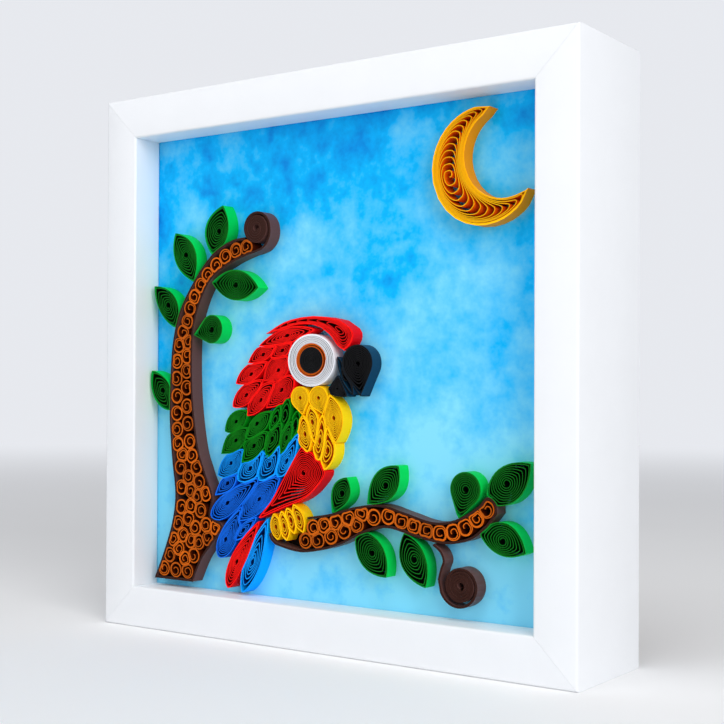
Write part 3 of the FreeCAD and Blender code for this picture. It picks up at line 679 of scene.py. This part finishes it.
def arc(centre, radius, first, last, tips, pieces=96):
    """Circle arc in degrees, whose ends run straight to the tips over a sixteenth of it."""
    angles = np.radians(np.linspace(first, last, pieces + 1))
    curve = centre + radius * np.exp(1j * angles)
    ends = pieces // 16
    ramp = np.arange(ends + 1) / ends
    curve[:ends + 1] = tips[0] + (curve[ends] - tips[0]) * ramp
    curve[-ends - 1:] = tips[1] + (curve[-ends - 1] - tips[1]) * ramp[::-1]
    return curve


def bent_coil(side_a, side_b, eye_along, turns, thickness, packed, points):
    """Turns of a coil squeezed between two sides, a number of points to the turn.

    Turn s, from 1 outside to 0 at the eye, runs along by s * cos and across by
    C(s) * |sin| ** q, with C falling from 1 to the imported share, so the turns close up at the
    sides and stay apart along the middle. All but the first stay inside the first.
    """
    j = np.arange(points * turns + 1)
    turn = 2 * math.pi * j / points
    f = np.clip((j / points - 1) / (turns - 1), 0, 1) * 0.985
    s = 1 - f
    lengthwise = np.where(np.cos(turn) > 0, 1 - eye_along, eye_along)
    along = eye_along + lengthwise * s * np.sign(np.cos(turn)) * abs(np.cos(turn)) ** 0.9
    q = 0.06 + 0.64 * np.clip(f * 6, 0, 1)
    width = (1 - (1 - packed) * f ** 0.8) * s / (s + 0.10 * f)
    across = np.sign(np.sin(turn)) * abs(np.sin(turn)) ** q * width
    place = along * (len(side_a) - 1)
    k = np.arange(len(side_a))
    a = np.interp(place, k, side_a.real) + 1j * np.interp(place, k, side_a.imag)
    b = np.interp(place, k, side_b.real) + 1j * np.interp(place, k, side_b.imag)
    half_width = np.maximum(abs(a - b) / 2, 1e-6)
    first_turn = 1.05 * thickness * np.clip(8 * (j / points - 0.9), 0, 1)
    room = np.maximum(half_width - thickness / 2 - first_turn, 0) / half_width
    return (a + b) / 2 + np.clip(across, -room, room) * (a - b) / 2


moon_outer = arc(78 + 202j, 24, 83.2, 331.2, moon_tips)
moon_inner = arc(87.5 + 206.5j, 18.3, 108.5, 304.1, moon_tips)
moon_line = bent_coil(moon_outer, moon_inner, eye_along=0.44, turns=14, thickness=moon_strip,
                      packed=0.66, points=moon_points)
corners, faces, tones = on_edge([(moon_line, moon_strip, 1.0, moon_points + 3)], seed=4)
piece("moon_coil", corners, faces, moon_paper, ["moon"], tones=tones)


# Eye: a white strip rolled into a wide ring, a thin brown ring inside it, and a tightly rolled
# black coil in the middle.

eye_middle = -8 + 125j
eye_across, eye_up = 12.8, 11.45
eye_steps = 72
# The white and iris papers have a painted shade on their walls between the turns; the black paper
# has a painted shade there and a painted bluish reflection on its outer walls.
white_rim, white_inside_shade = (228, 229, 234), (120, 122, 130)
iris_rim, iris_inside_shade = (196, 84, 8), (150, 60, 10)
black_rim, black_inside_shade, black_outside_reflection = (9, 10, 13), (2, 2, 3), (18, 54, 78)

white_paper = paper("white_paper", white_rim, white_inside_shade, white_rim, fibre=0.03)
iris_paper = paper("iris_paper", iris_rim, iris_inside_shade, iris_inside_shade)
black_paper = paper("black_paper", black_rim, black_inside_shade, black_outside_reflection, roughness=0.38)


def oval_ring(outer, inner, turns, fill):
    """Strip wound between two ovals, given as half widths across and up: r = r0 + (r1 - r0) f."""
    j = np.arange(eye_steps * turns + 1)
    turn = 2 * math.pi * j / eye_steps
    f = np.clip((j / eye_steps - 1) / (turns - 2), 0, 1)
    thickness = fill * (outer[0] - inner[0]) / turns
    across = outer[0] - thickness / 2 + (inner[0] + thickness / 2 - outer[0]) * f
    up = outer[1] - thickness / 2 + (inner[1] + thickness / 2 - outer[1]) * f
    return eye_middle + across * np.cos(turn) + 1j * up * np.sin(turn), thickness


for name, finish, slot, outer, inner, turns, fill, seed in (
    ("eye_white", white_paper, "white_paper", (eye_across, eye_up), (8.3, 7.6), 7, 0.94, 5),
    ("eye_iris", iris_paper, "iris_paper", (8.15, 7.45), (6.6, 6.05), 3, 0.95, 6),
    ("eye_pupil", black_paper, "black_paper", (6.3, 5.75), (0.5, 0.5), 11, 0.78, 7),
):
    line, thickness = oval_ring(outer, inner, turns, fill)
    corners, faces, tones = on_edge([(line, thickness, 1.0, eye_steps)], seed=seed)
    piece(name + "_roll", corners, faces, finish, [name], tones=tones)


# Beak: three coils of black paper beside the eye, a large drop, a slender pinched one and a
# small cornered one below. They touch along their sides and are glued there and to the card.

beak_winding = {"strip": 0.46, "pitch": 0.74, "hole": 0.9, "round_off": 0.9, "packing": 1.1,
                "splay": 0.1}
slender_winding = {"strip": 0.36, "pitch": 0.46, "hole": 0.4, "round_off": 0.4, "packing": 1.0,
                   "splay": 0.1}
lay_coil("beak_upper", drop(18.5 + 109.4j, 16.7 + 123.6j, 7.9), 16.9 + 123.4j, beak_winding,
         black_paper, "black_paper")
beak_side_eye = 10.2 + 117.6j
lay_coil("beak_side", petal(14.8 + 109.9j, 6.2 + 126.4j, beak_side_eye, 2.4, 2.4),
         beak_side_eye, slender_winding, black_paper, "black_paper")
beak_corners = np.array([
    1.5 + 112.5j, 3.2 + 110.2j, 7 + 109.3j, 11.2 + 109.4j, 10.2 + 112.5j, 8.4 + 116j,
    6.5 + 118.3j, 4.3 + 116.2j,
])
lay_coil("beak_lower", smooth(np.append(beak_corners, beak_corners[:1]), 4)[:-1],
         6.3 + 112.8j, slender_winding, black_paper, "black_paper")


# Hood: one long red coil bent over the eye, and eight pinched red coils behind it in rows like
# tiles, each let go until it fills the room beside its neighbours, and glued edge to edge.

# Red paper: the cut edge's colour, a painted shade for the walls between the turns, and a painted
# light for the outer walls.
red_rim, red_inside_shade, red_outside_shading = (250, 14, 10), (104, 0, 4), (226, 0, 10)
spring = 1.3
crown_strip = 0.36
crown_points = 48
feather_winding = {"strip": 0.33, "pitch": 0.42, "hole": 0.8, "round_off": 0.55,
                   "packing": 1.1, "splay": 0.16}

red_paper = paper("red_paper", red_rim, red_inside_shade, red_outside_shading)

crown_top = np.array([
    -33.1 + 137.2j, -26 + 140.8j, -19.7 + 142.9j, -9.1 + 144.2j, 0.9 + 143.5j, 9.7 + 141.2j,
    14.6 + 136.6j, 13.2 + 131.8j, 9.7 + 129.2j,
])
crown_under = np.array([
    -33.1 + 137.2j, -25.6 + 138.6j, -19 + 140.3j, -13 + 141j, -7 + 140.6j, -1 + 138.4j,
    3.2 + 135j, 6.2 + 131.4j, 9.7 + 129.2j,
])
crown_line = bent_coil(smooth(crown_top), smooth(crown_under), eye_along=0.70, turns=9,
                       thickness=crown_strip, packed=0.35, points=crown_points)
corners, faces, tones = on_edge([(crown_line, crown_strip, 1.0, crown_points + 3)], seed=8)
piece("hood_crown_coil", corners, faces, red_paper, ["hood_crown"], tones=tones)


def lay_feathers(rows, name, finish, slot, first=1, nodes=None):
    """Each row is the free tip, the tip under its neighbours, the eye and the two bows."""
    for number, (tip, root, eye, left, right) in enumerate(rows, first):
        pinched = petal(tip, root, eye, left, right, 14)
        sprung = petal(tip, root, eye, left * spring, right * spring, 14)
        lay_coil(name + str(number), pinched, eye, feather_winding, finish, slot, sprung, nodes)


lay_feathers([
    (-37.8 + 131.6j, -6.2 + 138.4j, -21.5 + 136.2j, 3.4, 2.2),
    (-43.8 + 124.1j, -27 + 132.4j, -35 + 127.9j, 3, 2.6),
    (-31 + 126.4j, -18.6 + 132.9j, -24.1 + 129.6j, 2.8, 2.8),
    (-51 + 114.8j, -32.4 + 124.6j, -42.1 + 119.1j, 3.3, 2.8),
    (-35 + 116.2j, -19.6 + 126.5j, -26.2 + 120.8j, 4.4, 4.3),
    (-52.8 + 104.2j, -34.6 + 116.6j, -44.9 + 109.7j, 3.6, 3),
    (-44.2 + 100.3j, -28.3 + 116.2j, -36.4 + 107.5j, 3.7, 3.2),
    (-33.2 + 103.8j, -17 + 118.3j, -24.5 + 112.2j, 4.5, 4.2),
], "hood_feather_", red_paper, "red_paper")


# Neck: two drops of yellow paper under the eye, and five pinched yellow coils that hang below
# them. They are wound and let go like the hood's, and glued side by side.

# Yellow paper: the cut edge's colour, a painted shade for the walls between the turns, and a
# painted light for the outer walls.
yellow_rim, yellow_inside_shade, yellow_outside_shading = (255, 196, 0), (216, 84, 0), (255, 200, 0)

yellow_paper = paper("yellow_paper", yellow_rim, yellow_inside_shade, yellow_outside_shading)
for number, (tip, eye, radius) in enumerate((
    (-12.6 + 101j, -14.1 + 108.6j, 5), (-1.4 + 101.6j, -4 + 108.6j, 5.2),
), 1):
    lay_coil("neck_feather_" + str(number), drop(tip, eye, radius, 24), eye, feather_winding,
             yellow_paper, "yellow_paper")
lay_feathers([
    (5.6 + 89.2j, 2.2 + 110.2j, 4.4 + 100j, 3.4, 4.2),
    (-9.6 + 84.2j, -12.6 + 101.2j, -11.2 + 92.8j, 3.6, 2.8),
    (-5.8 + 88.6j, -8.6 + 105.6j, -7.2 + 98j, 2.6, 2.8),
    (-4.4 + 80.6j, -1.6 + 101.6j, -3.2 + 90j, 2.8, 2.6),
    (-0.6 + 77.4j, 1.6 + 97j, 1 + 86j, 2.6, 3.8),
], "neck_feather_", yellow_paper, "yellow_paper", first=3)


# Breast: one large coil of the red paper, pinched to a long point at the wing and pressed to
# the neck's and the wing's coils, so its turns are round at the eye and narrow to the point.

breast_corners = np.array([
    -13.2 + 87j, -16.6 + 82.6j, -20.2 + 77.2j, -25 + 70j, -30 + 62.6j, -37 + 54.7j,
    -30 + 57.2j, -22.6 + 60.2j, -12.1 + 64.2j, -5.3 + 69.2j, -0.2 + 76.6j, -6 + 83.6j,
])
breast = smooth(np.append(breast_corners, breast_corners[:1]), 5)[:-1]
breast_winding = {"strip": 0.38, "pitch": 0.62, "hole": 1.0, "round_off": 1.25, "packing": 1.2,
                  "splay": 0.1}
lay_coil("breast", breast, -11.7 + 75.6j, breast_winding, red_paper, "red_paper")


# Wing: rows of pinched coils, nine of green paper, four of light blue and five of dark blue,
# each let go until it meets its neighbours. They are glued edge to edge and to the card.

# Each wing paper has the cut edge's colour, a painted shade for the walls between the turns, and
# painted light and shade for the outer walls.
green_rim, green_inside_shade, green_outside_shading = (2, 122, 12), (0, 26, 2), (0, 130, 20)
light_rim, light_inside_shade, light_outside_shading = (6, 150, 250), (0, 44, 120), (0, 154, 244)
deep_rim, deep_inside_shade, deep_outside_shading = (10, 110, 240), (0, 22, 88), (0, 86, 214)

green_paper = paper("green_paper", green_rim, green_inside_shade, green_outside_shading)
light_blue_paper = paper("light_blue_paper", light_rim, light_inside_shade, light_outside_shading)
dark_blue_paper = paper("dark_blue_paper", deep_rim, deep_inside_shade, deep_outside_shading)

lay_feathers([
    (-57.5 + 92.9j, -43.6 + 102.6j, -50.9 + 97.6j, 3.5, 3.5),
    (-59.8 + 82.5j, -43.8 + 94.9j, -50.9 + 89.1j, 3.8, 3.6),
    (-45 + 90j, -29.6 + 102.6j, -38.6 + 97j, 3.4, 3.2),
    (-47.4 + 79.1j, -32.4 + 93.4j, -40.4 + 87j, 4.5, 4.3),
    (-33 + 81.5j, -24.7 + 97.6j, -30 + 90.3j, 3.6, 3.5),
    (-31 + 89j, -25.4 + 105.6j, -28.4 + 98.6j, 2.4, 2.6),
    (-24.8 + 92j, -20.7 + 109j, -22.8 + 101j, 2.6, 2.6),
    (-24.7 + 83.6j, -18.8 + 98.4j, -21.6 + 91j, 2.6, 2.6),
    (-18.9 + 89.4j, -15.2 + 103.4j, -17 + 96.4j, 2.2, 2.4),
], "green_covert_", green_paper, "green_paper", nodes="green_coverts")
lay_feathers([
    (-61.8 + 72.6j, -45.4 + 85j, -53.9 + 78.7j, 3.5, 5.2),
    (-49.7 + 70.8j, -35 + 84.9j, -42.4 + 76.8j, 5.2, 5),
    (-37.4 + 71.3j, -25.6 + 87.8j, -31.3 + 78.9j, 5, 4.8),
    (-26.4 + 73.4j, -14.6 + 93.2j, -21.4 + 80.6j, 4.8, 3.2),
], "blue_covert_", light_blue_paper, "light_blue_paper", nodes="blue_coverts")
lay_feathers([
    (-63.7 + 63.2j, -49.8 + 73.4j, -55.8 + 69.5j, 3, 2.6),
    (-65.7 + 52.9j, -36.6 + 72.6j, -55.9 + 60.5j, 4, 3.8),
    (-49 + 52.6j, -24.6 + 74.7j, -37 + 63.1j, 4.6, 4.3),
    (-61 + 35.3j, -46.2 + 60j, -57 + 43.7j, 3.8, 4),
    (-52.1 + 43.7j, -38.4 + 55j, -46.4 + 48.6j, 2, 2.2),
], "flight_feather_", dark_blue_paper, "dark_blue_paper")


# Tail and toes: a red and a light blue coil, long and pinched at both tips, glued side by side
# below the wing, and four small yellow ones glued in a row at the branch's near end.

for name, (tip, root, eye, left, right), finish, slot in (
    ("tail_red", (-55.4 + 21.6j, -36.6 + 53.4j, -50.2 + 34j, 5.6, 2.6), red_paper, "red_paper"),
    ("tail_blue", (-46.8 + 20.3j, -32 + 54.6j, -41 + 34.6j, 4.6, 4.6), light_blue_paper,
     "light_blue_paper"),
):
    lay_coil(name, petal(tip, root, eye, left, right), eye, feather_winding, finish, slot)
lay_feathers([
    (-26.1 + 45.4j, -28.6 + 57.1j, -27.3 + 51.2j, 2.4, 2.6),
    (-21.1 + 45.4j, -24.4 + 58.4j, -22.7 + 51.9j, 2.5, 2.6),
    (-16.8 + 48.6j, -21.3 + 60j, -19 + 54.6j, 2.4, 2.6),
    (-11.8 + 49.4j, -17.6 + 61.8j, -14.6 + 55.8j, 2.4, 2.4),
], "toe_", yellow_paper, "yellow_paper", nodes="toes")


# Settling: the coils take their shapes from each other, pinched first and then sprung open
# sideways until they meet what lies beside them. Each node's coils then become one piece.

standing = [
    np.concatenate([mitred(line, 0.5), mitred(line, -0.5)[::-1]])
    for line in (trunk_line, branch_line, twig_line)
]
standing.append(np.concatenate([smooth(crown_under), smooth(crown_top)[-2:0:-1]]))
around_eye = np.linspace(0, 6.2, 60)
standing.append(eye_middle + eye_across * np.cos(around_eye) + 1j * eye_up * np.sin(around_eye))
for stage_name in ("pinched", "sprung"):
    for name, own in coils.items():
        around = [other["shape"] for other in coils.values()
                  if other is not own and "shape" in other]
        near = [other for other in standing + around
                if abs(other - own["eye"]).min() < abs(own[stage_name] - own["eye"]).max() + 1]
        own["shape"] = pressed(own[stage_name], own["eye"], near, clearance)

for node in dict.fromkeys(own["piece"] for own in coils.values()):
    members = [own for own in coils.values() if own["piece"] == node]
    random = np.random.default_rng(len(node) * 7 + 1)
    strips = []
    for own in members:
        line, thickness = wound(own["shape"], own["eye"], **own["winding"])
        strips.append((line, thickness, random.uniform(0.88, 1.1), len(own["shape"])))
    corners, faces, tones = on_edge(strips, seed=len(strips[0][0]))
    piece(node + "_coil", corners, faces, members[0]["paper"], [node],
          tones=tones)


# Floor, light and camera: a plain pale floor that fades into a pale backdrop, three square soft
# lamps, and the camera of the picture.

floor_radius = 3.0
backdrop_colour = (0.93, 0.95, 1.0, 1)
backdrop_level = 0.86
room_level = 0.38
fade_start, fade_end = 0.35, 2.2

floor_finish = Finish("pale_floor", Roughness=0.9)
floor_tone = floor_finish.noise(4, 2)
floor_finish.feed(Base_Color=floor_finish.blend(floor_tone, linear((244, 244, 244)),
                                                linear((248, 248, 248))))
away = floor_finish.node("ShaderNodeVectorMath", {0: floor_finish.place()}, output="Value",
                         operation="LENGTH")
fade = floor_finish.node("ShaderNodeMapRange", {
    "Value": away, "From Min": fade_start, "From Max": fade_end,
}, interpolation_type="SMOOTHSTEP")
seen_share = fade * floor_finish.node("ShaderNodeLightPath", {}, output="Is Camera Ray")
backdrop = floor_finish.node("ShaderNodeEmission", {"Color": backdrop_colour,
                                                    "Strength": backdrop_level})
merged = floor_finish.node("ShaderNodeMixShader", {0: seen_share, 2: backdrop})
floor_finish.tree.links.new(floor_finish.shader.outputs[0], merged.socket.node.inputs[1])
floor_finish.tree.links.new(merged.socket,
                            floor_finish.tree.nodes["Material Output"].inputs["Surface"])
floor_mesh = bpy.data.meshes.new("floor")
ring = floor_radius * np.exp(1j * np.radians(np.arange(0, 360, 5)))
floor_mesh.from_pydata(np.stack([ring.real, ring.imag, 0 * ring.real], -1).tolist(), [],
                       [list(range(len(ring)))])
floor_mesh.materials.append(floor_finish.material)
floor = bpy.data.objects.new("floor", floor_mesh)
bpy.context.scene.collection.objects.link(floor)


def turned(side, up, back, place):
    """The matrix of an object at a place whose own axes point along three directions."""
    columns = [np.append(side, 0), np.append(up, 0), np.append(back, 0), np.append(place, 1)]
    return Matrix(np.column_stack(columns).tolist())


def softbox(name, place, target, size, watts):
    """A square lamp at a place, turned towards a target."""
    lamp = bpy.data.lights.new(name, "AREA")
    lamp.shape = "SQUARE"
    lamp.size = size
    lamp.energy = watts
    made = bpy.data.objects.new(name, lamp)
    back = np.array(place) - np.array(target)
    back = back / np.linalg.norm(back)
    side = np.cross((0, 0, 1), back)
    side = side / np.linalg.norm(side)
    made.matrix_world = turned(side, np.cross(back, side), back, place)
    bpy.context.scene.collection.objects.link(made)


picture_middle = (0, 0, 0.12)
softbox("window_light", (1.4, -0.85, 0.7), picture_middle, 0.9, 15)
softbox("fill_light", (-0.8, -1.3, 0.5), picture_middle, 1.2, 4.6)
softbox("top_light", (0.2, -0.55, 1.5), picture_middle, 0.9, 7)

world = bpy.data.worlds.new("studio")
world.use_nodes = True
bpy.context.scene.world = world
tree = world.node_tree
surroundings = tree.nodes["Background"]
surroundings.inputs["Color"].default_value = backdrop_colour
path = tree.nodes.new("ShaderNodeLightPath")
seen = tree.nodes.new("ShaderNodeMath")
seen.operation = "MAXIMUM"
tree.links.new(path.outputs["Is Camera Ray"], seen.inputs[0])
tree.links.new(path.outputs["Is Glossy Ray"], seen.inputs[1])
level = tree.nodes.new("ShaderNodeMapRange")
level.inputs["To Min"].default_value = room_level
level.inputs["To Max"].default_value = backdrop_level
tree.links.new(seen.outputs[0], level.inputs["Value"])
tree.links.new(level.outputs[0], surroundings.inputs["Strength"])

camera_place = (0.34533, -0.47620, 0.11276)
yaw, pitch, roll = 0.61885, 0.00758, 0.00407
forward = np.array([
    -math.sin(yaw) * math.cos(pitch), math.cos(yaw) * math.cos(pitch), math.sin(pitch)
])
right = np.array([math.cos(yaw), math.sin(yaw), 0.0])
up = np.cross(right, forward)
rolled_right = math.cos(roll) * right + math.sin(roll) * up
rolled_up = -math.sin(roll) * right + math.cos(roll) * up
lens = bpy.data.cameras.new("camera")
lens.sensor_width = 36
lens.lens = 65.93
lens.shift_y = 0.0228
lens.clip_start = 0.02
camera = bpy.data.objects.new("camera", lens)
camera.matrix_world = turned(rolled_right, rolled_up, -forward, camera_place)
bpy.context.scene.collection.objects.link(camera)
bpy.context.scene.camera = camera
bpy.context.scene.view_settings.view_transform = "Standard"
